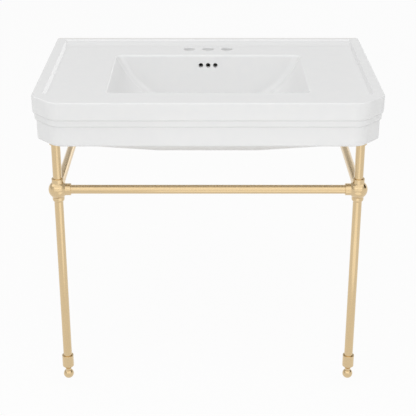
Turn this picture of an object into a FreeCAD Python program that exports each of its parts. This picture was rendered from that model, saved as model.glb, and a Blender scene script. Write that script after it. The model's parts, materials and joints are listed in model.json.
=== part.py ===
import FreeCAD, Part
import math
import os
import re

import Sketcher

# Console sink: a one-piece china basin carried by a wall and by a brass stand with two front legs.
# Millimetres. +Z is up, the front faces -Y and the wall is at +Y. The origin lies on the floor, midway
# between the sides and midway between the front and the wall.

SIZES = [
    # basin, overall
    ("basin_width", 838.0),
    ("basin_depth", 559.0),
    ("rim_height", 778.0),
    ("chamfer_side", 58.0),
    ("chamfer_front", 53.0),
    ("chamfer_side_radius", 20.0),
    ("chamfer_front_radius", 52.0),
    ("back_corner_radius", 10.0),
    # stepped apron, from the rim down
    ("rim_edge_radius", 3.0),
    ("fascia_height", 40.2),
    ("fascia_taper", 1.0),
    ("fascia_radius", 6.0),
    ("band_inset", 4.6),
    ("band_bottom", 57.8),
    ("band_taper", 0.6),
    ("band_radius", 4.5),
    ("apron_inset", 9.1),
    ("apron_taper", 0.3),
    ("apron_radius", 6.0),
    ("apron_height", 112.5),
    # rim and deck
    ("rim_band", 26.0),
    ("rim_band_back", 14.4),
    ("rim_band_chamfer", 30.0),
    ("bevel_width", 6.0),
    ("deck_depth", 7.0),
    ("ledge_depth", 3.0),
    ("ledge_width", 35.0),
    ("ledge_slope", 31.0),
    # china walls
    ("wall", 13.0),
    ("bowl_wall", 12.0),
    ("bottom_skin", 12.0),
    # bowl
    ("bowl_width", 490.0),
    ("bowl_front", 99.0),
    ("bowl_back", 144.0),
    ("bowl_depth", 145.0),
    ("bowl_side_angle", 60.5),
    ("bowl_side_radius", 207.0),
    ("bowl_back_angle", 5.0),
    ("bowl_front_angle", 17.0),
    ("bowl_crease_radius", 18.0),
    ("bowl_lip_radius", 5.5),
    # belly under the basin
    ("belly_skin", 15.0),
    ("belly_side", 99.0),
    ("belly_floor_side", 301.0),
    ("belly_front", 24.0),
    ("belly_floor_front", 110.0),
    ("belly_floor_back", 148.0),
    ("belly_radius", 14.0),
    # faucet holes
    ("faucet_hole_radius", 15.5),
    ("faucet_hole_spacing", 50.8),
    ("faucet_hole_back", 85.0),
    ("faucet_hole_edge", 1.5),
    # drain and overflow
    ("drain_radius", 22.25),
    ("drain_back", 269.0),
    ("drain_boss_radius", 38.0),
    ("drain_boss_depth", 176.0),
    ("drain_recess_radius", 31.0),
    ("drain_recess_depth", 3.0),
    ("overflow_radius", 6.2),
    ("overflow_spacing", 19.2),
    ("overflow_depth", 34.8),
    ("duct_width", 54.0),
    ("duct_thickness", 14.0),
    ("duct_floor_width", 26.0),
    ("duct_height", 10.0),
    ("duct_wall", 10.0),
    # rear bay and wall bolts
    ("bay_width", 660.0),
    ("bay_front", 119.0),
    ("wall_bolt_radius", 6.5),
    ("wall_bolt_spacing", 400.0),
    ("wall_bolt_depth", 60.0),
    # leg bosses in the china
    ("leg_boss_radius", 25.0),
    ("leg_boss_height", 57.0),
    ("leg_socket_depth", 34.0),
    # stand
    ("leg_setback", 53.0),
    ("tube_radius", 11.0),
    ("tube_wall", 1.5),
    ("tube_fit", 0.1),
    ("ball_height", 538.5),
    ("ball_radius", 23.3),
    ("collar_radius", 14.7),
    ("collar_reach", 32.0),
    ("collar_top", 29.5),
    ("collar_edge", 1.2),
    ("socket_floor", 12.0),
    ("tube_gap", 0.3),
    ("cup_straight", 24.5),
    ("cup_bottom", 30.5),
    ("cup_lip", 0.7),
    ("cup_seat", 0.1),
    ("cup_taper_radius", 8.0),
    # foot
    ("sleeve_top", 68.4),
    ("sleeve_socket", 50.0),
    ("sleeve_bevel_top", 37.0),
    ("sleeve_bottom", 29.2),
    ("sleeve_bottom_radius", 7.6),
    ("foot_ball_radius", 13.1),
    ("foot_flat_radius", 5.0),
    ("neck_radius", 7.0),
    ("stud_radius", 4.95),
    ("stud_clearance", 0.05),
    ("stud_top", 70.0),
    # wall flange
    ("flange_radius", 35.0),
    ("flange_thickness", 5.0),
    ("flange_hub_radius", 16.0),
    ("flange_hub_length", 20.0),
    ("flange_floor", 2.0),
    ("flange_edge", 1.5),
    ("flange_screw_radius", 2.5),
    ("flange_screw_circle", 52.0),
    # leg top
    ("pad_thickness", 3.0),
    ("pad_radius", 15.0),
    ("plug_disc", 5.0),
    ("plug_spigot", 20.0),
    ("plug_stud_radius", 6.0),
    ("plug_stud_length", 30.0),
    ("plug_clearance", 0.3),
    # grub screws
    ("grub_radius", 2.5),
    ("grub_clearance", 0.05),
    ("grub_offset", 24.0),
    ("grub_sleeve_height", 59.0),
]

doc = FreeCAD.newDocument("console_sink")
sheet = doc.addObject("Spreadsheet::Sheet", "sizes")
for row, (alias, value) in enumerate(SIZES, 1):
    sheet.set("A%d" % row, alias)
    sheet.set("B%d" % row, str(value))
    sheet.setAlias("B%d" % row, alias)
doc.recompute()


NAMES = {alias for alias, value in SIZES}
PLANES = {"XY": "XY_Plane", "XZ": "XZ_Plane", "YZ": "YZ_Plane"}
OVERSHOOT = 5.0  # how far a cutting shape reaches past the face that it opens


def sized(text):
    """The expression with each size written as a reference to its cell."""
    return re.sub(r"[a-z_]+", lambda word: "sizes." + word[0] if word[0] in NAMES else word[0], text)


def value(text):
    """The expression's present value, in millimetres or degrees."""
    found = sheet.evalExpression(sized(text))
    return float(getattr(found, "Value", found))


def bind(thing, **expressions):
    """Binds properties of an object to expressions of the sizes."""
    for name, text in expressions.items():
        thing.setExpression(name.replace("__", "."), sized(text))


def place(thing, x="0", y="0", z="0", turn=None):
    """Puts an object at a point given by expressions, turned about an axis by an angle."""
    if turn:
        thing.Placement = FreeCAD.Placement(FreeCAD.Vector(), FreeCAD.Rotation(FreeCAD.Vector(*turn[0]), turn[1]))
    bind(thing, Placement__Base__x=x, Placement__Base__y=y, Placement__Base__z=z)
    return thing


def new_body(label):
    body = doc.addObject("PartDesign::Body", label)
    body.Label = label
    return body


def new_sketch(body, name, plane, offset="0"):
    """A sketch on one of the body's own origin planes, moved along the plane's normal."""
    sketch = body.newObject("Sketcher::SketchObject", name)
    support = next(o for o in body.Origin.OriginFeatures if o.Role == PLANES[plane])
    sketch.AttachmentSupport = [(support, "")]
    sketch.MapMode = "FlatFace"
    bind(sketch, AttachmentOffset__Base__z=offset)
    return sketch


def constrain(sketch, text, kind, *where):
    """A dimension of the sketch, bound to an expression."""
    index = sketch.addConstraint(Sketcher.Constraint(kind, *where, value(text)))
    sketch.setExpression("Constraints[%d]" % index, sized(text))


def draw_circle(sketch, radius, x="0", y="0"):
    centre = FreeCAD.Vector(value(x), value(y), 0)
    curve = sketch.addGeometry(Part.Circle(centre, FreeCAD.Vector(0, 0, 1), value(radius)), False)
    constrain(sketch, radius, "Radius", curve)
    constrain(sketch, x, "DistanceX", curve, 3)
    constrain(sketch, y, "DistanceY", curve, 3)


def draw_outline(sketch, corners):
    """A closed outline. A corner is (x, y), or (x, y, radius) where an arc runs from it to the next corner.

    The radius is given as "+expression" for an arc that turns left and "-expression" for one that turns right.
    """
    points = [FreeCAD.Vector(value(c[0]), value(c[1]), 0) for c in corners]
    ends = []
    for i, corner in enumerate(corners):
        here = points[i]
        there = points[(i + 1) % len(points)]
        if len(corner) == 2:
            curve = sketch.addGeometry(Part.LineSegment(here, there), False)
            ends.append((curve, 1, 2))
            continue
        left = corner[2].startswith("+")
        radius = value(corner[2][1:])
        start, stop = (here, there) if left else (there, here)
        chord = stop - start
        height = math.sqrt(radius ** 2 - (chord.Length / 2) ** 2)
        centre = start + chord * 0.5 + FreeCAD.Vector(-chord.y, chord.x, 0) * (height / chord.Length)
        angles = [math.atan2(p.y - centre.y, p.x - centre.x) for p in (start, stop)]
        circle = Part.Circle(centre, FreeCAD.Vector(0, 0, 1), radius)
        curve = sketch.addGeometry(Part.ArcOfCircle(circle, angles[0], angles[1]), False)
        constrain(sketch, corner[2][1:], "Radius", curve)
        ends.append((curve, 1, 2) if left else (curve, 2, 1))
    for i, (curve, first, last) in enumerate(ends):
        following = ends[(i + 1) % len(ends)]
        sketch.addConstraint(Sketcher.Constraint("Coincident", curve, last, following[0], following[1]))
        constrain(sketch, corners[i][0], "DistanceX", curve, first)
        constrain(sketch, corners[i][1], "DistanceY", curve, first)


def pad(body, sketch, length, downwards=False, both_ways=False):
    feature = body.newObject("PartDesign::Pad", sketch.Name + "_pad")
    feature.Profile = sketch
    feature.Reversed = downwards
    if both_ways:
        feature.SideType = "Symmetric"
    bind(feature, Length=length)
    doc.recompute()
    return feature


def pocket(body, sketch, length, forwards=False):
    """A pocket against the sketch's normal, or along it. It has to take something away."""
    before = body.Shape.Volume
    feature = body.newObject("PartDesign::Pocket", sketch.Name + "_pocket")
    feature.Profile = sketch
    feature.Reversed = forwards
    bind(feature, Length=length)
    doc.recompute()
    if not body.Shape.Volume < before:
        raise RuntimeError(sketch.Name + " removes nothing")
    return feature


def turned(label, corners):
    """A piece turned on its own Z axis: corners are (radius, height)."""
    body = new_body(label)
    sketch = new_sketch(body, label + "_profile", "XZ")
    draw_outline(sketch, corners)
    feature = body.newObject("PartDesign::Revolution", label + "_turning")
    feature.Profile = sketch
    feature.ReferenceAxis = (sketch, ["V_Axis"])
    feature.Angle = 360.0
    doc.recompute()
    return body


def edges_where(shape, test):
    return ["Edge%d" % (i + 1) for i, edge in enumerate(shape.Edges) if test(edge)]


def round_edges(body, radius, test):
    """Rounds the edges of the body's tip that pass the test."""
    tip = body.Tip
    names = edges_where(tip.Shape, test)
    feature = body.newObject("PartDesign::Fillet", "%s_round_%d" % (body.Name, len(body.Group)))
    feature.Base = (tip, names)
    bind(feature, Radius=radius)
    doc.recompute()
    return feature


def at(point, axis, text):
    """Whether a point's coordinate equals an expression."""
    return abs(getattr(point, axis) - value(text)) < 0.001


def primitive(kind, label, **expressions):
    thing = doc.addObject("Part::" + kind, label)
    bind(thing, **expressions)
    return thing


def cylinder(label, radius, length, x, y, z, turn=None):
    return place(primitive("Cylinder", label, Radius=radius, Height=length), x, y, z, turn)


def box(label, x, y, z, length, width, height):
    return place(primitive("Box", label, Length=length, Width=width, Height=height), x, y, z)


# ---------------------------------------------------------------- basin

HALF = "basin_width / 2"
FRONT = "-basin_depth / 2"
BACK = "basin_depth / 2"
DECK = "(rim_height - deck_depth)"
CHAMFER = "sqrt(chamfer_side ^ 2 + chamfer_front ^ 2)"


def plan(side, front, chamfer, back):
    """Six corners of the basin's plan, moved in from the sides, front, chamfers and back."""
    along_side = "chamfer_side + ((%s) * %s - (%s) * chamfer_side) / chamfer_front" % (chamfer, CHAMFER, side)
    along_front = "chamfer_front + ((%s) * %s - (%s) * chamfer_front) / chamfer_side" % (chamfer, CHAMFER, front)
    x = "%s - (%s)" % (HALF, side)
    corner_x = "%s - (%s)" % (HALF, along_front)
    y_back = "%s - (%s)" % (BACK, back)
    y_side = "%s + %s" % (FRONT, along_side)
    y_front = "%s + (%s)" % (FRONT, front)
    return [
        ("-(%s)" % x, y_back),
        ("-(%s)" % x, y_side),
        ("-(%s)" % corner_x, y_front),
        (corner_x, y_front),
        (x, y_side),
        (x, y_back),
    ]


def is_upright(edge):
    ends = edge.Vertexes
    return len(ends) == 2 and abs(ends[0].X - ends[1].X) + abs(ends[0].Y - ends[1].Y) < 0.001


def corner_distance(edge, x, y):
    return abs(abs(edge.CenterOfMass.x) - value(x)) + abs(edge.CenterOfMass.y - value(y))


def moulding():
    """The stepped outside of the apron as the outline of a moulding cutter, at the back end of the left side.

    From the rim down: rounded rim edge, fascia, band and lower apron, each a little tapered and rounded under.
    """
    def drop(radius, reach):
        return "sqrt(%s ^ 2 - (%s - (%s)) ^ 2)" % (radius, radius, reach)

    side = "-" + HALF
    fascia_end = "fascia_height + " + drop("fascia_radius", "band_inset - fascia_taper")
    band_end = "band_bottom + " + drop("band_radius", "apron_inset - band_inset - band_taper")
    apron_line = "apron_inset + apron_taper"
    return [
        (side + " + rim_edge_radius", "rim_height", "+rim_edge_radius"),
        (side, "rim_height - rim_edge_radius"),
        (side + " + fascia_taper", "rim_height - fascia_height", "+fascia_radius"),
        (side + " + band_inset", "rim_height - (%s)" % fascia_end),
        (side + " + band_inset + band_taper", "rim_height - band_bottom", "+band_radius"),
        (side + " + apron_inset", "rim_height - (%s)" % band_end),
        (side + " + " + apron_line, "rim_height - apron_height + apron_radius", "+apron_radius"),
        (side + " + %s + apron_radius" % apron_line, "rim_height - apron_height"),
        (side + " + %s + apron_radius" % apron_line, "rim_height - apron_height - %g" % OVERSHOOT),
        (side + " - %g" % OVERSHOOT, "rim_height - apron_height - %g" % OVERSHOOT),
        (side + " - %g" % OVERSHOOT, "rim_height + %g" % OVERSHOOT),
        (side + " + rim_edge_radius", "rim_height + %g" % OVERSHOOT),
    ]


def make_casting():
    """The outside of the china: block, moulding round three sides, recessed deck with its ledge, and belly."""
    body = new_body("casting")
    block = new_sketch(body, "block_plan", "XY", "rim_height")
    draw_outline(block, plan("0", "0", "0", "0"))
    pad(body, block, "apron_height", downwards=True)
    side_y = FRONT + " + chamfer_side"
    front_x = HALF + " - chamfer_front"
    round_edges(body, "chamfer_side_radius", lambda e: is_upright(e) and corner_distance(e, HALF, side_y) < 0.01)
    round_edges(body, "chamfer_front_radius", lambda e: is_upright(e) and corner_distance(e, front_x, FRONT) < 0.01)

    block_top = body.Tip
    rim_edges = [
        (math.atan2(edge.CenterOfMass.x, -edge.CenterOfMass.y), "Edge%d" % (i + 1))
        for i, edge in enumerate(block_top.Shape.Edges)
        if all(at(v.Point, "z", "rim_height") for v in edge.Vertexes) and not at(edge.CenterOfMass, "y", BACK)
    ]
    cutter = new_sketch(body, "moulding_cutter", "XZ", "-" + BACK)
    draw_outline(cutter, moulding())
    run = body.newObject("PartDesign::SubtractivePipe", "moulding_run")
    run.Profile = cutter
    run.Spine = (block_top, [name for angle, name in sorted(rim_edges)])
    doc.recompute()

    corners = new_sketch(body, "back_corners", "XY", "rim_height")
    for hand in ("-", ""):
        arc = "-" if hand else "+"
        x = "%s(%s" % (hand, HALF)
        draw_outline(corners, [
            (x + ")", BACK + " - back_corner_radius", arc + "back_corner_radius"),
            (x + " - back_corner_radius)", BACK),
            (x + " - back_corner_radius)", BACK + " + %g" % OVERSHOOT),
            (x + " + %g)" % OVERSHOOT, BACK + " + %g" % OVERSHOOT),
            (x + " + %g)" % OVERSHOOT, BACK + " - back_corner_radius"),
        ])
    pocket(body, corners, "apron_height")

    deck = new_sketch(body, "deck_plan", "XY", "rim_height")
    draw_outline(deck, plan("rim_band", "rim_band", "rim_band_chamfer", "rim_band_back"))
    recess = pocket(body, deck, "deck_depth")
    bind(recess, TaperAngle="-atan(bevel_width / deck_depth)")
    doc.recompute()

    ledge = new_sketch(body, "ledge_section", "YZ")
    slope_start = BACK + " - ledge_width"
    drop = "(deck_depth - ledge_depth)"
    buried = DECK + " - wall / 2"
    draw_outline(ledge, [
        (BACK + " - rim_band_back", "rim_height - ledge_depth"),
        (slope_start, "rim_height - ledge_depth", "-(ledge_slope ^ 2 + %s ^ 2) / (2 * %s)" % (drop, drop)),
        (slope_start + " - ledge_slope", DECK),
        (slope_start + " - ledge_slope", buried),
        (BACK + " - rim_band_back", buried),
    ])
    pad(body, ledge, "basin_width - 2 * rim_band", both_ways=True)

    upper = new_sketch(body, "belly_top", "XY", "rim_height - apron_height")
    draw_outline(upper, rectangle("(basin_width - 2 * belly_side)", "belly_front", "bay_front + bowl_wall / 4"))
    lower = new_sketch(body, "belly_floor", "XY", "rim_height - bowl_depth - belly_skin")
    draw_outline(lower, rectangle("(basin_width - 2 * belly_floor_side)", "belly_floor_front", "belly_floor_back"))
    belly = body.newObject("PartDesign::AdditiveLoft", "belly")
    belly.Profile = upper
    belly.Sections = [lower]
    belly.Ruled = True
    doc.recompute()
    floor_z = "rim_height - bowl_depth - belly_skin"
    round_edges(body, "belly_radius", lambda e: all(at(v.Point, "z", floor_z) for v in e.Vertexes))
    return body


def rectangle(width, from_front, from_back):
    return [
        ("-%s / 2" % width, "%s - (%s)" % (BACK, from_back)),
        ("-%s / 2" % width, "%s + (%s)" % (FRONT, from_front)),
        ("%s / 2" % width, "%s + (%s)" % (FRONT, from_front)),
        ("%s / 2" % width, "%s - (%s)" % (BACK, from_back)),
    ]


def make_hollow():
    """The space between bowl and apron, and the bay under the faucet holes that opens downwards."""
    body = new_body("hollow")
    room = new_sketch(body, "hollow_plan", "XY", DECK + " - wall")
    inset = "apron_inset + apron_taper + wall"
    draw_outline(room, plan(inset, inset, inset, "wall"))
    pad(body, room, "apron_height - bottom_skin - deck_depth - wall", downwards=True)
    bay = new_sketch(body, "bay_plan", "XY", DECK + " - wall")
    draw_outline(bay, rectangle("bay_width", "basin_depth - bay_front", "wall"))
    pad(body, bay, "apron_height - deck_depth - wall + %g" % OVERSHOOT, downwards=True)
    return body


def make_bowl(label, grow, top):
    """The bowl as a solid: a trough with sloping sides and round bottom, between a front and a back wall.

    grow is how far it stands outside the bowl's inner surface, and top is its upper limit.
    """
    floor = "(rim_height - bowl_depth - (%s))" % grow
    trough = new_body(label + "_trough")
    section = new_sketch(trough, label + "_trough_section", "XZ")
    edge = "(bowl_width / 2 + (%s) / sin(bowl_side_angle))" % grow
    knee = "(%s - (%s - %s) / tan(bowl_side_angle))" % (edge, DECK, floor)
    radius = "bowl_side_radius + (%s)" % grow
    tangent = "((%s) * tan(bowl_side_angle / 2))" % radius
    rim_x = "%s + ((%s) - %s) / tan(bowl_side_angle)" % (edge, top, DECK)
    round_x = "%s + %s * cos(bowl_side_angle)" % (knee, tangent)
    round_z = "%s + %s * sin(bowl_side_angle)" % (floor, tangent)
    flat_x = "%s - %s" % (knee, tangent)
    draw_outline(section, [
        ("-(%s)" % rim_x, top),
        ("-(%s)" % round_x, round_z, "+" + radius),
        ("-(%s)" % flat_x, floor),
        (flat_x, floor, "+" + radius),
        (round_x, round_z),
        (rim_x, top),
    ])
    pad(trough, section, "basin_depth", both_ways=True)

    walls = new_body(label + "_walls")
    section = new_sketch(walls, label + "_walls_section", "YZ")
    low = "(%s - %g)" % (floor, 6 * OVERSHOOT)
    front = FRONT + " + bowl_front - (%s) / cos(bowl_front_angle) + (" + DECK + " - (%s)) * tan(bowl_front_angle)"
    back = BACK + " - bowl_back + (%s) / cos(bowl_back_angle) - (" + DECK + " - (%s)) * tan(bowl_back_angle)"
    draw_outline(section, [
        (back % (grow, top), top),
        (front % (grow, top), top),
        (front % (grow, low), low),
        (back % (grow, low), low),
    ])
    pad(walls, section, "basin_width", both_ways=True)

    common = doc.addObject("Part::MultiCommon", label)
    common.Shapes = [trough, walls]
    doc.recompute()
    return common


def rounded(label, base, groups):
    """Rounds edges of a shape: groups are (radius, test)."""
    feature = doc.addObject("Part::Fillet", label)
    feature.Base = base
    chosen = []
    for radius, test in groups:
        size = value(radius)
        chosen += [(int(name[4:]), size, size) for name in edges_where(base.Shape, test)]
    feature.Edges = chosen
    doc.recompute()
    return feature


def is_crease(edge):
    """An edge where the bowl's front or back wall meets its sides or floor."""
    middle = edge.valueAt((edge.FirstParameter + edge.LastParameter) / 2)
    below = middle.z < value(DECK) + OVERSHOOT - 0.001
    along = edge.tangentAt((edge.FirstParameter + edge.LastParameter) / 2)
    return below and abs(along.y) < 0.5


def make_basin():
    hollowed = doc.addObject("Part::Cut", "hollowed_casting")
    hollowed.Base = make_casting()
    hollowed.Tool = make_hollow()

    lower_deck = DECK + " - wall / 2"
    duct_front = BACK + " - bowl_back + bowl_wall"
    duct_back = duct_front + " + duct_thickness"
    boss_floor = "rim_height - drain_boss_depth"
    drain_y = BACK + " - drain_back"
    skin_top = "rim_height - apron_height + bottom_skin"
    shelled = doc.addObject("Part::Fuse", "shelled_casting")
    shelled.Base = hollowed
    shelled.Tool = make_bowl("bowl_shell", "bowl_wall", lower_deck)
    ribs = [
        cylinder("drain_boss", "drain_boss_radius", "drain_boss_depth - bowl_depth", "0", drain_y, boss_floor),
        box("duct_rib", "-(duct_width / 2 + duct_wall)", duct_front + " - 2 * bowl_wall", boss_floor,
            "duct_width + 2 * duct_wall", "2 * bowl_wall + duct_thickness + duct_wall",
            "drain_boss_depth - deck_depth - wall / 2"),
        box("duct_floor_rib", "-(duct_floor_width / 2 + duct_wall)", drain_y, boss_floor,
            "duct_floor_width + 2 * duct_wall", duct_back + " + duct_wall - (%s)" % drain_y,
            "drain_boss_depth - bowl_depth"),
    ]
    for side, name in ((-1, "left"), (1, "right")):
        ribs.append(cylinder("leg_boss_" + name, "leg_boss_radius", "leg_boss_height - bottom_skin",
                             leg_x(side), LEG_Y, skin_top))
    ribbed = doc.addObject("Part::MultiFuse", "ribbed_casting")
    ribbed.Shapes = [shelled] + ribs
    doc.recompute()
    if not ribbed.Shape.Volume > shelled.Shape.Volume > hollowed.Shape.Volume:
        raise RuntimeError("the ribs are not joined to the casting")

    core = make_bowl("bowl_core", "0", DECK + " + %g" % OVERSHOOT)
    smooth_core = rounded("bowl_inside", core, [("bowl_crease_radius", is_crease)])
    cuts = [
        smooth_core,
        cylinder("drain_hole", "drain_radius", "drain_boss_depth - bowl_depth + %g" % (2 * OVERSHOOT),
                 "0", drain_y, boss_floor + " - %g" % OVERSHOOT),
        cylinder("drain_recess", "drain_recess_radius", "drain_recess_depth + %g" % OVERSHOOT,
                 "0", drain_y, "rim_height - bowl_depth - drain_recess_depth"),
        box("duct", "-duct_width / 2", duct_front, boss_floor + " + duct_wall",
            "duct_width", "duct_thickness",
            "drain_boss_depth - duct_wall - overflow_depth + 2 * overflow_radius"),
        box("duct_floor", "-duct_floor_width / 2", drain_y, boss_floor + " + duct_wall",
            "duct_floor_width", duct_back + " - (%s)" % drain_y, "duct_height"),
    ]
    for i in (-1, 0, 1):
        cuts.append(cylinder("faucet_hole_%d" % (i + 2), "faucet_hole_radius", "wall + deck_depth + %g" % OVERSHOOT,
                             "%d * faucet_hole_spacing" % i, BACK + " - faucet_hole_back",
                             DECK + " - wall - %g" % OVERSHOOT))
        cuts.append(cylinder("overflow_hole_%d" % (i + 2), "overflow_radius", "3 * bowl_wall",
                             "%d * overflow_spacing" % i, duct_front + " + duct_thickness / 2",
                             "rim_height - overflow_depth", turn=((1, 0, 0), 90)))
    for side, name in ((-1, "left"), (1, "right")):
        cuts.append(cylinder("wall_bolt_hole_" + name, "wall_bolt_radius", "wall + %g" % (2 * OVERSHOOT),
                             "%d * wall_bolt_spacing / 2" % side, BACK + " + %g" % OVERSHOOT,
                             "rim_height - wall_bolt_depth", turn=((1, 0, 0), 90)))
        cuts.append(cylinder("leg_socket_" + name, "plug_stud_radius + plug_clearance",
                             "leg_socket_depth + %g" % OVERSHOOT, leg_x(side), LEG_Y,
                             "rim_height - apron_height - %g" % OVERSHOOT))
    openings = doc.addObject("Part::MultiFuse", "openings")
    openings.Shapes = cuts
    opened = doc.addObject("Part::Cut", "opened_casting")
    opened.Base = ribbed
    opened.Tool = openings
    doc.recompute()

    def is_lip(edge):
        on_deck = all(at(v.Point, "z", DECK) for v in edge.Vertexes) and at(edge.CenterOfMass, "z", DECK)
        inside = abs(edge.CenterOfMass.x) < value("bowl_width / 2 + 1")
        in_bowl = value(FRONT + " + bowl_front - 1") < edge.CenterOfMass.y < value(BACK + " - bowl_back + 1")
        return on_deck and inside and in_bowl

    def is_faucet_edge(edge):
        return at(edge.CenterOfMass, "z", DECK) and at(edge.CenterOfMass, "y", BACK + " - faucet_hole_back")

    return rounded("basin", opened, [("bowl_lip_radius", is_lip), ("faucet_hole_edge", is_faucet_edge)])


# ---------------------------------------------------------------- stand

LEG_Y = FRONT + " + leg_setback"
BORE = "(tube_radius + tube_fit)"


CUP_SEAT = "(ball_radius + cup_seat)"
CUP_GRUB = "(sqrt(%s ^ 2 - %s ^ 2) + grub_radius + 2 * cup_seat)" % (CUP_SEAT, BORE)


def leg_x(side):
    return "%d * (%s - leg_setback)" % (side, HALF)


def make_tube(label, length):
    body = new_body(label)
    ring = new_sketch(body, label + "_ring", "XY")
    draw_circle(ring, "tube_radius")
    draw_circle(ring, "tube_radius - tube_wall")
    pad(body, ring, length)
    return body


def make_ball_fitting(name, side):
    """A ball with three collared sockets, up, inwards and back, and a plain socket below."""
    inward = -side
    body = turned("ball_fitting_" + name, [
        ("0", "-ball_radius", "+ball_radius"),
        ("ball_radius", "0", "+ball_radius"),
        ("0", "ball_radius"),
    ])
    bosses = [
        ("up", "XY", 1, "collar_top"),
        ("inner", "YZ", inward, "collar_reach"),
        ("rear", "XZ", -1, "collar_reach"),
    ]
    for boss, plane, direction, reach in bosses:
        disc = new_sketch(body, "%s_%s_boss" % (name, boss), plane)
        draw_circle(disc, "collar_radius")
        pad(body, disc, reach, downwards=direction < 0)

    def is_boss_end(edge):
        centre = edge.CenterOfMass
        ends = (("x", "%d * collar_reach" % inward), ("y", "collar_reach"), ("z", "collar_top"))
        return any(at(centre, axis, text) for axis, text in ends)

    round_edges(body, "collar_edge", is_boss_end)
    for boss, plane, direction, reach in bosses:
        mouth = new_sketch(body, "%s_%s_socket" % (name, boss), plane, "%d * %s" % (direction, reach))
        draw_circle(mouth, BORE)
        pocket(body, mouth, "%s - socket_floor" % reach, forwards=direction < 0)
    below = new_sketch(body, "%s_lower_socket" % name, "XY", "-ball_radius")
    draw_circle(below, BORE)
    pocket(body, below, "ball_radius - socket_floor", forwards=True)
    radial = [
        ("up_grub", "XZ", "0", "grub_offset"),
        ("inner_grub", "XY", "%d * grub_offset" % inward, "0"),
        ("rear_grub", "XY", "0", "grub_offset"),
    ]
    for hole, plane, x, y in radial:
        sketch = new_sketch(body, "%s_%s" % (name, hole), plane)
        draw_circle(sketch, "grub_radius", x, y)
        pocket(body, sketch, "collar_radius + %g" % OVERSHOOT)
    return place(body, leg_x(side), LEG_Y, "ball_height")


def grub_hole(body, name, height):
    """A radial hole on the wall side of a turned piece."""
    sketch = new_sketch(body, name, "XZ")
    draw_circle(sketch, "grub_radius", "0", height)
    pocket(body, sketch, "collar_radius + %g" % OVERSHOOT)


def make_cup_collar(name, side):
    """The cup under a ball: it seats on the ball, and narrows to the lower tube."""
    seat = CUP_SEAT
    body = turned("cup_collar_" + name, [
        (BORE, "-cup_bottom"),
        (BORE + " + cup_lip", "-cup_bottom", "+cup_taper_radius"),
        ("collar_radius", "-cup_straight"),
        ("collar_radius", "-sqrt(%s ^ 2 - collar_radius ^ 2)" % seat, "-" + seat),
        (BORE, "-sqrt(%s ^ 2 - %s ^ 2)" % (seat, BORE)),
    ])
    grub_hole(body, name + "_cup_grub", "-" + CUP_GRUB)
    return place(body, leg_x(side), LEG_Y, "ball_height")


def make_foot_sleeve(name, side):
    body = turned("foot_sleeve_" + name, [
        ("stud_radius + stud_clearance", "sleeve_bottom"),
        ("sleeve_bottom_radius", "sleeve_bottom"),
        ("collar_radius", "sleeve_bevel_top"),
        ("collar_radius", "sleeve_top - collar_edge", "+collar_edge"),
        ("collar_radius - collar_edge", "sleeve_top"),
        (BORE, "sleeve_top"),
        (BORE, "sleeve_socket"),
        ("stud_radius + stud_clearance", "sleeve_socket"),
    ])
    grub_hole(body, name + "_sleeve_grub", "grub_sleeve_height")
    return place(body, leg_x(side), LEG_Y)


def make_levelling_foot(name, side):
    """Ball foot, neck and screw stud in one piece. The neck's shoulder stops against the sleeve."""
    centre = "sqrt(foot_ball_radius ^ 2 - foot_flat_radius ^ 2)"
    body = turned("levelling_foot_" + name, [
        ("0", "0"),
        ("foot_flat_radius", "0", "+foot_ball_radius"),
        ("neck_radius", "%s + sqrt(foot_ball_radius ^ 2 - neck_radius ^ 2)" % centre),
        ("neck_radius", "sleeve_bottom"),
        ("stud_radius", "sleeve_bottom"),
        ("stud_radius", "stud_top - stud_radius / 5"),
        ("stud_radius * 4 / 5", "stud_top"),
        ("0", "stud_top"),
    ])
    return place(body, leg_x(side), LEG_Y)


def make_leg_top(name, side):
    """The plug in the top of a leg, and the rubber washer between it and the china."""
    pad_bottom = "rim_height - apron_height - pad_thickness"
    disc_bottom = pad_bottom + " - plug_disc"
    plug = turned("leg_top_plug_" + name, [
        ("0", "-plug_disc - plug_spigot"),
        ("tube_radius - tube_wall - tube_fit", "-plug_disc - plug_spigot"),
        ("tube_radius - tube_wall - tube_fit", "-plug_disc"),
        ("pad_radius", "-plug_disc"),
        ("pad_radius", "0"),
        ("plug_stud_radius", "0"),
        ("plug_stud_radius", "plug_stud_length"),
        ("0", "plug_stud_length"),
    ])
    place(plug, leg_x(side), LEG_Y, pad_bottom)
    washer = turned("leg_pad_" + name, [
        ("plug_stud_radius + plug_clearance", "0"),
        ("pad_radius", "0"),
        ("pad_radius", "pad_thickness"),
        ("plug_stud_radius + plug_clearance", "pad_thickness"),
    ])
    place(washer, leg_x(side), LEG_Y, pad_bottom)
    tube_bottom = "ball_height + socket_floor + tube_gap"
    tube = make_tube("upper_leg_tube_" + name, "%s - (%s)" % (disc_bottom, tube_bottom))
    place(tube, leg_x(side), LEG_Y, tube_bottom)
    return [plug, washer, tube]


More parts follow.
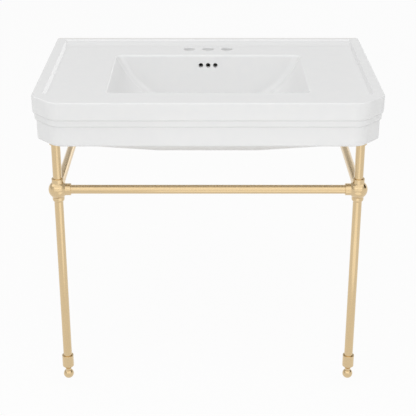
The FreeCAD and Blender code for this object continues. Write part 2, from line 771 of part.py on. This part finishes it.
def make_wall_flange(name, side):
    """A round flange against the wall with a hub for the side rail and three screw holes."""
    body = turned("wall_flange_" + name, [
        ("0", "0"),
        ("flange_radius", "0"),
        ("flange_radius", "flange_thickness - flange_edge", "+flange_edge"),
        ("flange_radius - flange_edge", "flange_thickness"),
        ("flange_hub_radius", "flange_thickness"),
        ("flange_hub_radius", "flange_hub_length - collar_edge", "+collar_edge"),
        ("flange_hub_radius - collar_edge", "flange_hub_length"),
        (BORE, "flange_hub_length"),
        (BORE, "flange_floor"),
        ("0", "flange_floor"),
    ])
    hole = new_sketch(body, name + "_flange_screw", "XY", "flange_thickness")
    draw_circle(hole, "flange_screw_radius", "0", "flange_screw_circle / 2")
    first = pocket(body, hole, "flange_thickness")
    ring = body.newObject("PartDesign::PolarPattern", name + "_flange_screws")
    ring.Originals = [first]
    ring.Axis = (hole, ["N_Axis"])
    ring.Angle = 360.0
    ring.Occurrences = 3
    body.Tip = ring
    doc.recompute()
    grub = new_sketch(body, name + "_flange_grub", "XZ")
    draw_circle(grub, "grub_radius", "0", FLANGE_GRUB)
    pocket(body, grub, "flange_hub_radius + %g" % OVERSHOOT, forwards=True)
    return place(body, leg_x(side), BACK, "ball_height", turn=((1, 0, 0), 90))


FLANGE_GRUB = "(flange_thickness + flange_hub_length) / 2"


def make_grub(label, outer, x, y, z, turn):
    """A grub screw with a hexagon socket, lying in the wall of a collar, its socket outwards."""
    length = "(%s - tube_radius - tube_fit - 3 * grub_clearance)" % outer
    shank = cylinder(label + "_shank", "grub_radius - grub_clearance", length, "0", "0", "0")
    shank.Placement.Base.z = 0
    key = primitive("Prism", label + "_key", Circumradius="grub_radius / 2", Height="grub_radius")
    place(key, z="%s - grub_radius / 2" % length)
    bind(shank, Placement__Base__z="0")
    screw = doc.addObject("Part::Cut", label)
    screw.Base = shank
    screw.Tool = key
    return place(screw, x, y, z, turn)


def make_set_screws():
    """One grub screw for each tube end in a collar."""
    start = "(%s + grub_clearance)" % BORE
    back_way = ((1, 0, 0), -90)
    down_way = ((1, 0, 0), 180)
    screws = []
    for side, name in ((-1, "left"), (1, "right")):
        x = leg_x(side)
        behind = "%s + %s" % (LEG_Y, start)
        under = "ball_height - " + start
        screws += [
            make_grub(name + "_up", "collar_radius", x, behind, "ball_height + grub_offset", back_way),
            make_grub(name + "_cup", "(collar_radius - collar_edge / 2)", x, behind, "ball_height - " + CUP_GRUB,
                      back_way),
            make_grub(name + "_sleeve", "collar_radius", x, behind, "grub_sleeve_height", back_way),
            make_grub(name + "_inner", "collar_radius", "%s - %d * grub_offset" % (x, side), LEG_Y, under, down_way),
            make_grub(name + "_rear", "collar_radius", x, LEG_Y + " + grub_offset", under, down_way),
            make_grub(name + "_flange", "flange_hub_radius", x, "%s - %s" % (BACK, FLANGE_GRUB), under, down_way),
        ]
    group = doc.addObject("Part::Compound", "set_screws")
    group.Links = screws
    return group


parts = [make_basin()]
for side, name in ((-1, "left"), (1, "right")):
    parts.append(make_ball_fitting(name, side))
    parts.append(make_cup_collar(name, side))
    parts.append(make_foot_sleeve(name, side))
    parts.append(make_levelling_foot(name, side))
    parts += make_leg_top(name, side)
    lower_bottom = "sleeve_socket + tube_gap"
    lower = make_tube("lower_leg_tube_" + name, "ball_height - socket_floor - tube_gap - (%s)" % lower_bottom)
    parts.append(place(lower, leg_x(side), LEG_Y, lower_bottom))
    rail_front = LEG_Y + " + socket_floor + tube_gap"
    rail = make_tube("side_rail_" + name, "%s - flange_floor - tube_gap - (%s)" % (BACK, rail_front))
    parts.append(place(rail, leg_x(side), rail_front, "ball_height", turn=((1, 0, 0), -90)))
    parts.append(make_wall_flange(name, side))
bar_reach = "(%s - leg_setback - socket_floor - tube_gap)" % HALF
crossbar = make_tube("crossbar", "2 * " + bar_reach)
parts.append(place(crossbar, "-" + bar_reach, LEG_Y, "ball_height", turn=((0, 1, 0), 90)))
parts.append(make_set_screws())

doc.recompute()
faults = [o.Name for o in doc.Objects if {"Invalid", "Error"} & set(o.State)]
faults += [p.Label for p in parts if p.Shape.isNull() or not p.Shape.isValid()]
if faults:
    raise RuntimeError("failed: " + ", ".join(faults))
os.makedirs("parts", exist_ok=True)
for part in parts:
    part.Shape.exportStep(os.path.join("parts", part.Label + ".step"))
    print("%-26s %2d solid(s) %12.1f mm3" % (part.Label, len(part.Shape.Solids), part.Shape.Volume))
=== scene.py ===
import json
import math

import bpy
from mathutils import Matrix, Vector


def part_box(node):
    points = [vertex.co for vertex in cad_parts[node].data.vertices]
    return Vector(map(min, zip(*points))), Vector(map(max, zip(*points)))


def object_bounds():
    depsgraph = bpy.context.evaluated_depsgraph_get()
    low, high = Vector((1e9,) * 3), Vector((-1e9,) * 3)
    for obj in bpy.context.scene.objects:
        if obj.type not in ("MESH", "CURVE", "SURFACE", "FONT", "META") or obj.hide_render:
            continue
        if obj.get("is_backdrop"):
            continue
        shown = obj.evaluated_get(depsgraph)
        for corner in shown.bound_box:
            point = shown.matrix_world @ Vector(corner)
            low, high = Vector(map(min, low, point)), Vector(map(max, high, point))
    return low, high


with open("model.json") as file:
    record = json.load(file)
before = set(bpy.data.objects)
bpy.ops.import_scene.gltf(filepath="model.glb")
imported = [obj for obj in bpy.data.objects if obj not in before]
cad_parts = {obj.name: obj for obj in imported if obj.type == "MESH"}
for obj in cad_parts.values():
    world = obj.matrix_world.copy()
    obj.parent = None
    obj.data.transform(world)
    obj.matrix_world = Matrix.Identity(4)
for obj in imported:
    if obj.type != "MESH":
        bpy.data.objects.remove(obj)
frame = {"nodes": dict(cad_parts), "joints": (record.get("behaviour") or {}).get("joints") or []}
low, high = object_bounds()
CAD_BOX = ([float(v) for v in low], [float(v) for v in high])

# Metres in the frame's axes: X to the right, Y from the front to the wall, Z up from the resting feet.
WALL_Y = CAD_BOX[1][1]
GLAZE_ENDS_Y = (WALL_Y - 0.0015, WALL_Y - 0.0005)
GLAZE_EDGE_WOBBLE = 0.004
# Span over which the painted shade under the basin deepens from the front towards the wall.
UNDERSIDE_SHADE_DEEPENS_Y = (-0.10, 0.06)
RIM_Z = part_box("basin")[1].z
APRON_BOTTOM_Z = RIM_Z - 0.1135
UNDERSIDE_STARTS_Z = (APRON_BOTTOM_Z, APRON_BOTTOM_Z - 0.002)
DUCT_FRONT_Y = 0.1475
DUCT_BACK_Y = 0.1625
DUCT_HALF_WIDTH = 0.0275
DUCT_TOP_Z = RIM_Z - 0.020
FOOT_TRAVEL = max(joint["range_m"][1] for joint in frame["joints"])

# A noise texture keeps mostly to its middle, so that is stretched over the span wanted.
NOISE_MIDDLE = (0.3, 0.7)
FULL = (0.0, 1.0)
FADING = (1.0, 0.0)

# Brush lines: noise at ALONG_BRUSH per metre along the brushing and ACROSS_BRUSH across it.
ALONG_BRUSH = 30.0
ACROSS_BRUSH = 900.0
TURNED_BRUSH = (60.0, 60.0, 1500.0)


def rgb(red, green, blue):
    return (red, green, blue, 1.0)


WHITE = rgb(1.0, 1.0, 1.0)

GLAZE_COOL = rgb(0.870, 0.873, 0.874)
GLAZE_WARM = rgb(0.881, 0.882, 0.879)
BARE_CLAY_DARK = rgb(0.70, 0.66, 0.59)
BARE_CLAY_LIGHT = rgb(0.80, 0.77, 0.71)
# Painted shade inside the overflow duct, where the holes look dark from their depth.
DUCT_PAINTED_SHADE = rgb(0.22, 0.215, 0.20)
# Painted shade on the belly under the basin: lighter at the front, darker towards the wall.
UNDERSIDE_PAINTED_SHADE_FRONT = rgb(0.80, 0.796, 0.786)
UNDERSIDE_PAINTED_SHADE_REAR = rgb(0.50, 0.48, 0.45)
BARE_CLAY_ROUGHER = 0.6
UNDERSIDE_ROUGHER = 0.3

BRASS_LINE_DARK = rgb(0.605, 0.430, 0.200)
BRASS_LINE_LIGHT = rgb(0.650, 0.468, 0.222)
BRASS_CLOUD = rgb(0.595, 0.415, 0.190)
BRASS_GRAZING = rgb(1.0, 0.92, 0.78)

RUBBER_DARK = rgb(0.018, 0.018, 0.019)
RUBBER_LIGHT = rgb(0.045, 0.044, 0.042)
STEEL_DARK = rgb(0.20, 0.20, 0.21)
STEEL_LIGHT = rgb(0.36, 0.35, 0.34)

FLOOR_PAINT = rgb(0.86, 0.86, 0.855)
FLOOR_PAINT_DARK = rgb(0.847, 0.847, 0.842)
FLOOR_SEEN_WHITE = 0.93
FLOOR_SIZE = 14.0
FLOOR_GAP = 0.0005
CLOTH_DARK = rgb(0.012, 0.012, 0.012)
CLOTH_LIGHT = rgb(0.02, 0.02, 0.02)
FLAG_SIZE = (1.7, 1.5)
FLAG_PLACE = (3.0, 0.35, 1.45)
FLAG_TARGET = (0.2, -0.1, 0.4)


# ---------------------------------------------------------------- node trees

class Nodes:
    """An empty node tree, with short ways to fill it. A value may be a socket or a constant."""

    def __init__(self, tree):
        self.tree = tree
        tree.nodes.clear()

    def add(self, kind, **settings):
        node = self.tree.nodes.new(kind)
        for key, value in settings.items():
            setattr(node, key, value)
        return node

    def link(self, value, socket):
        if isinstance(value, bpy.types.NodeSocket):
            self.tree.links.new(value, socket)
        else:
            socket.default_value = value

    def split(self, vector):
        """The X, Y and Z of a vector."""
        node = self.add("ShaderNodeSeparateXYZ")
        self.link(vector, node.inputs["Vector"])
        return node.outputs["X"], node.outputs["Y"], node.outputs["Z"]

    def ranged(self, value, source, target):
        """Maps the span source onto the span target and holds the value at both ends."""
        node = self.add("ShaderNodeMapRange")
        self.link(value, node.inputs["Value"])
        spans = {"From Min": source[0], "From Max": source[1], "To Min": target[0], "To Max": target[1]}
        for key, number in spans.items():
            node.inputs[key].default_value = number
        return node.outputs["Result"]

    def calc(self, operation, a, b=0.0, clamp=False):
        node = self.add("ShaderNodeMath", operation=operation, use_clamp=clamp)
        self.link(a, node.inputs[0])
        self.link(b, node.inputs[1])
        return node.outputs[0]

    def mix(self, factor, a, b):
        """Colour a where factor is 0, colour b where it is 1."""
        node = self.add("ShaderNodeMix", data_type="RGBA")
        self.link(factor, node.inputs["Factor"])
        self.link(a, node.inputs["A"])
        self.link(b, node.inputs["B"])
        return node.outputs["Result"]

    def mix_shader(self, factor, a, b):
        node = self.add("ShaderNodeMixShader")
        self.link(factor, node.inputs[0])
        self.link(a, node.inputs[1])
        self.link(b, node.inputs[2])
        return node.outputs[0]

    def seen_directly(self):
        """1 for rays from the camera, a reflection or a refraction, 0 for the rays that light the object."""
        rays = self.add("ShaderNodeLightPath").outputs
        camera_or_glossy = self.calc("ADD", rays["Is Camera Ray"], rays["Is Glossy Ray"])
        return self.calc("ADD", camera_or_glossy, rays["Is Transmission Ray"], clamp=True)


class Material(Nodes):
    """A new material. Noise and brush lines keep to the object's own coordinates."""

    def __init__(self, name):
        self.material = bpy.data.materials.new(name)
        self.material.use_nodes = True
        super().__init__(self.material.node_tree)
        self.coordinates = self.add("ShaderNodeTexCoord").outputs["Object"]
        surface = self.add("ShaderNodeNewGeometry").outputs
        self.position = surface["Position"]
        self.normal = surface["Normal"]
        self.output = self.add("ShaderNodeOutputMaterial").inputs["Surface"]

    def noise(self, scale, detail, roughness=0.5, stretch=None):
        node = self.add("ShaderNodeTexNoise")
        node.inputs["Scale"].default_value = scale
        node.inputs["Detail"].default_value = detail
        node.inputs["Roughness"].default_value = roughness
        source = self.coordinates
        if stretch:
            mapping = self.add("ShaderNodeMapping")
            mapping.inputs["Scale"].default_value = stretch
            self.link(source, mapping.inputs["Vector"])
            source = mapping.outputs["Vector"]
        self.link(source, node.inputs["Vector"])
        return node.outputs["Fac"]

    def bump(self, height, distance, strength, normal=None):
        node = self.add("ShaderNodeBump")
        node.inputs["Distance"].default_value = distance
        node.inputs["Strength"].default_value = strength
        self.link(height, node.inputs["Height"])
        if normal:
            self.link(normal, node.inputs["Normal"])
        return node.outputs["Normal"]

    def principled(self, **values):
        """Ends the tree in a Principled shader. Base_Color stands for its input Base Color."""
        shader = self.add("ShaderNodeBsdfPrincipled")
        for key, value in values.items():
            self.link(value, shader.inputs[key.replace("_", " ")])
        self.link(shader.outputs["BSDF"], self.output)
        return self.material


# ---------------------------------------------------------------- finishes of the object

def in_overflow_duct(m, x, y, z):
    """1 inside the duct behind the overflow holes, where painted shade goes, 0 elsewhere."""
    between_walls = m.calc(
        "MULTIPLY",
        m.calc("GREATER_THAN", y, DUCT_FRONT_Y),
        m.calc("LESS_THAN", y, DUCT_BACK_Y),
    )
    between_sides = m.calc("LESS_THAN", m.calc("ABSOLUTE", x), DUCT_HALF_WIDTH)
    below_top = m.calc("LESS_THAN", z, DUCT_TOP_Z)
    return m.calc("MULTIPLY", m.calc("MULTIPLY", between_walls, between_sides), below_top)


def on_underside(m, z):
    """1 on the belly under the apron, 0 on the apron and in the bowl, which faces up."""
    _, _, facing_up = m.split(m.normal)
    outside_bowl = m.ranged(facing_up, (0.10, 0.25), FADING)
    below_apron = m.ranged(z, UNDERSIDE_STARTS_Z, FULL)
    return m.calc("MULTIPLY", below_apron, outside_bowl)


def glazed_china():
    """White glaze on cast clay: faintly mottled and wavy, bare and rough on the face against the wall,
    and duller underneath, with painted shade on the belly that darkens towards the wall, and painted shade
    inside the overflow duct."""
    m = Material("glazed_china")
    x, y, z = m.split(m.position)

    mottle = m.ranged(m.noise(scale=40.0, detail=4.0), (0.35, 0.65), FULL)
    colour = m.mix(mottle, GLAZE_COOL, GLAZE_WARM)

    wobble = m.calc("MULTIPLY", m.noise(scale=60.0, detail=3.0), GLAZE_EDGE_WOBBLE)
    wall_face = m.ranged(m.calc("ADD", y, wobble), GLAZE_ENDS_Y, FULL)
    bare_clay = m.mix(m.noise(scale=220.0, detail=5.0), BARE_CLAY_DARK, BARE_CLAY_LIGHT)
    colour = m.mix(wall_face, colour, bare_clay)
    # Painted shade inside the overflow duct.
    colour = m.mix(in_overflow_duct(m, x, y, z), colour, DUCT_PAINTED_SHADE)

    # Painted shade on the belly, darkening towards the wall; the belly is also made rougher.
    underside = on_underside(m, z)
    shade_deepens = m.ranged(y, UNDERSIDE_SHADE_DEEPENS_Y, FULL)
    colour = m.mix(underside, colour, m.mix(shade_deepens, UNDERSIDE_PAINTED_SHADE_FRONT, UNDERSIDE_PAINTED_SHADE_REAR))

    roughness = m.ranged(m.noise(scale=18.0, detail=3.0), NOISE_MIDDLE, (0.09, 0.12))
    roughness = m.calc("ADD", roughness, m.calc("MULTIPLY", wall_face, BARE_CLAY_ROUGHER))
    roughness = m.calc("ADD", roughness, m.calc("MULTIPLY", underside, UNDERSIDE_ROUGHER))

    waves = m.bump(m.noise(scale=7.0, detail=2.0), distance=0.0006, strength=0.12)
    orange_peel = m.bump(m.noise(scale=420.0, detail=2.0), distance=0.00002, strength=0.12, normal=waves)
    return m.principled(Base_Color=colour, Roughness=roughness, Normal=orange_peel, IOR=1.5)


def satin_brass(name, brush):
    """Brushed, lacquered brass. brush stretches the lines: small along the brushing, large across it."""
    m = Material(name)
    lines = m.noise(scale=1.0, detail=5.0, roughness=0.65, stretch=brush)
    cloud = m.noise(scale=14.0, detail=4.0)
    spots = m.noise(scale=90.0, detail=3.0)

    brushed = m.mix(m.ranged(lines, NOISE_MIDDLE, FULL), BRASS_LINE_DARK, BRASS_LINE_LIGHT)
    colour = m.mix(m.ranged(cloud, (0.35, 0.75), (0.0, 0.35)), brushed, BRASS_CLOUD)
    line_roughness = m.ranged(lines, NOISE_MIDDLE, (0.19, 0.24))
    spot_roughness = m.ranged(spots, (0.45, 0.8), (0.0, 0.05))
    return m.principled(
        Base_Color=colour,
        Roughness=m.calc("ADD", line_roughness, spot_roughness),
        Normal=m.bump(lines, distance=0.000004, strength=0.4),
        Metallic=1.0,
        Specular_Tint=BRASS_GRAZING,
        Coat_Weight=1.0,
        Coat_IOR=2.0,
        Coat_Roughness=0.08,
    )


def rubber():
    m = Material("rubber")
    grain = m.noise(scale=900.0, detail=3.0)
    return m.principled(
        Base_Color=m.mix(m.noise(scale=60.0, detail=3.0), RUBBER_DARK, RUBBER_LIGHT),
        Roughness=m.ranged(grain, NOISE_MIDDLE, (0.6, 0.85)),
        Normal=m.bump(grain, distance=0.00005, strength=0.4),
    )


def screw_steel():
    m = Material("screw_steel")
    grain = m.noise(scale=700.0, detail=3.0)
    return m.principled(
        Base_Color=m.mix(m.noise(scale=120.0, detail=3.0), STEEL_DARK, STEEL_LIGHT),
        Roughness=m.ranged(grain, NOISE_MIDDLE, (0.3, 0.5)),
        Normal=m.bump(grain, distance=0.00003, strength=0.4),
        Metallic=1.0,
    )


def dress_object():
    """Gives every CAD node its finish. Brass that isn't listed is turned, with lines round its axis."""
    upright = satin_brass("satin_brass_upright", brush=(ACROSS_BRUSH, ACROSS_BRUSH, ALONG_BRUSH))
    across = satin_brass("satin_brass_across", brush=(ALONG_BRUSH, ACROSS_BRUSH, ACROSS_BRUSH))
    to_wall = satin_brass("satin_brass_back", brush=(ACROSS_BRUSH, ALONG_BRUSH, ACROSS_BRUSH))
    turned = satin_brass("satin_brass_turned", brush=TURNED_BRUSH)
    finishes = {
        "basin": glazed_china(),
        "leg_pad": rubber(),
        "set_screws": screw_steel(),
        "upper_leg_tube": upright,
        "lower_leg_tube": upright,
        "crossbar": across,
        "side_rail": to_wall,
        "wall_flange": to_wall,
    }
    for name, node in frame["nodes"].items():
        kind = name.removesuffix("_left").removesuffix("_right")
        node.data.materials.clear()
        node.data.materials.append(finishes.get(kind, turned))


# ---------------------------------------------------------------- floor and flag

def lit_white():
    """Pale matt paint that looks almost plain white and still takes faint shadows."""
    m = Material("floor_paint")
    diffuse = m.add("ShaderNodeBsdfDiffuse")
    m.link(m.mix(m.noise(scale=3.0, detail=3.0), FLOOR_PAINT, FLOOR_PAINT_DARK), diffuse.inputs["Color"])
    glow = m.add("ShaderNodeEmission")
    glow.inputs["Color"].default_value = WHITE
    whitened = m.calc("MULTIPLY", m.seen_directly(), FLOOR_SEEN_WHITE)
    m.link(m.mix_shader(whitened, diffuse.outputs[0], glow.outputs[0]), m.output)
    return m.material


def black_cloth():
    m = Material("black_cloth")
    return m.principled(
        Base_Color=m.mix(m.noise(scale=80.0, detail=3.0), CLOTH_DARK, CLOTH_LIGHT),
        Roughness=0.9,
    )


def plane(name, size, material):
    x = size[0] / 2
    y = size[1] / 2
    mesh = bpy.data.meshes.new(name)
    mesh.from_pydata([(-x, -y, 0), (x, -y, 0), (x, y, 0), (-x, y, 0)], [], [(0, 1, 2, 3)])
    mesh.materials.append(material)
    thing = bpy.data.objects.new(name, mesh)
    bpy.context.scene.collection.objects.link(thing)
    thing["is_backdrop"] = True
    return thing


def aim(thing, place, target):
    """Puts a lamp or a plane at place and turns its -Z to target."""
    thing.location = place
    thing.rotation_euler = (Vector(target) - Vector(place)).to_track_quat("-Z", "Y").to_euler()


def floor_and_flag():
    """The floor lies just under the feet when they are screwed out. The flag gives the balls the dark spots
    on their right that the photo shows, and stays out of the camera's view at every angle."""
    floor = plane("floor", (FLOOR_SIZE, FLOOR_SIZE), lit_white())
    floor.location.z = -FOOT_TRAVEL - FLOOR_GAP
    flag = plane("flag", FLAG_SIZE, black_cloth())
    aim(flag, FLAG_PLACE, FLAG_TARGET)
    flag.visible_camera = False


# ---------------------------------------------------------------- light

WORLD_LIGHT = 0.548

# Each lamp's name, place, target, width and height, and power in watts.
LAMPS = (
    ("front_scrim", (0.0, -2.3, 1.22), (0.0, -0.2, 0.8), (4.4, 1.6), 7.8),
    ("high_front_scrim", (0.0, -1.9, 3.25), (0.0, 0.0, 0.7), (7.0, 3.4), 51.0),
    ("top_scrim", (0.0, 0.3, 3.3), (0.0, 0.0, 0.7), (3.4, 2.2), 6.8),
    ("left_scrim", (-2.8, 0.0, 2.7), (0.0, 0.0, 0.7), (1.8, 1.6), 8.0),
    ("right_scrim", (2.8, 0.0, 2.7), (0.0, 0.0, 0.7), (1.8, 1.6), 6.0),
    ("back_panel", (1.08, 4.6, 1.17), (-0.3, 0.0, 0.77), (1.6, 1.15), 2.9),
    ("floor_card", (0.3, -1.4, 0.01), (0.3, -1.4, 1.0), (1.0, 1.4), 1.6),
)


def background(w, strength):
    node = w.add("ShaderNodeBackground")
    node.inputs["Color"].default_value = WHITE
    w.link(strength, node.inputs["Strength"])
    return node.outputs[0]


def seen_backdrop(w):
    """How bright the studio looks in each direction: white low down, grey higher up and to the left,
    and pale again in front, though not overhead."""
    x, y, z = w.split(w.add("ShaderNodeTexCoord").outputs["Generated"])
    grey_above = w.ranged(z, (0.18, 0.31), (1.0, 0.60))
    grey_left = w.ranged(x, (-0.30, -0.08), (0.66, 1.0))
    near_floor = w.ranged(z, (0.05, 0.12), FADING)
    all_round = w.calc("MINIMUM", grey_above, w.calc("MAXIMUM", grey_left, near_floor))
    pale_front = w.ranged(y, (-0.35, -0.15), (0.86, 0.0))
    not_overhead = w.ranged(z, (0.50, 0.62), FADING)
    return w.calc("MAXIMUM", all_round, w.calc("MINIMUM", pale_front, not_overhead))


def studio_world():
    """An even light on the object, and the studio as the camera and the reflections see it."""
    world = bpy.data.worlds.new("studio")
    bpy.context.scene.world = world
    world.use_nodes = True
    w = Nodes(world.node_tree)
    lighting = background(w, WORLD_LIGHT)
    seen = background(w, seen_backdrop(w))
    output = w.add("ShaderNodeOutputWorld")
    w.link(w.mix_shader(w.seen_directly(), lighting, seen), output.inputs["Surface"])


def area_light(name, place, target, size, watts):
    data = bpy.data.lights.new(name, "AREA")
    data.shape = "RECTANGLE"
    data.size, data.size_y = size
    data.energy = watts
    lamp = bpy.data.objects.new(name, data)
    bpy.context.scene.collection.objects.link(lamp)
    aim(lamp, place, target)
    lamp.visible_camera = False


# ---------------------------------------------------------------- camera

CAMERA_DISTANCE = 2.64256
CAMERA_ABOVE_RIM = 0.8116
CAMERA_TILT_DOWN = 22.762
CAMERA_LENS_MM = 93.42
SENSOR_WIDTH_MM = 36.0
PICTURE_SHIFT = (-0.00024, -0.0790)


def photo_camera():
    """The photo's angle: from the front and above the rim, looking down."""
    data = bpy.data.cameras.new("camera")
    data.sensor_width = SENSOR_WIDTH_MM
    data.lens = CAMERA_LENS_MM
    data.shift_x, data.shift_y = PICTURE_SHIFT
    camera = bpy.data.objects.new("camera", data)
    bpy.context.scene.collection.objects.link(camera)
    camera.location = (0.0, -CAMERA_DISTANCE, RIM_Z + CAMERA_ABOVE_RIM)
    camera.rotation_euler = (math.radians(90.0 - CAMERA_TILT_DOWN), 0.0, 0.0)
    bpy.context.scene.camera = camera


dress_object()
floor_and_flag()
studio_world()
for lamp_settings in LAMPS:
    area_light(*lamp_settings)
photo_camera()
bpy.context.scene.view_settings.view_transform = "Standard"

low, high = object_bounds()
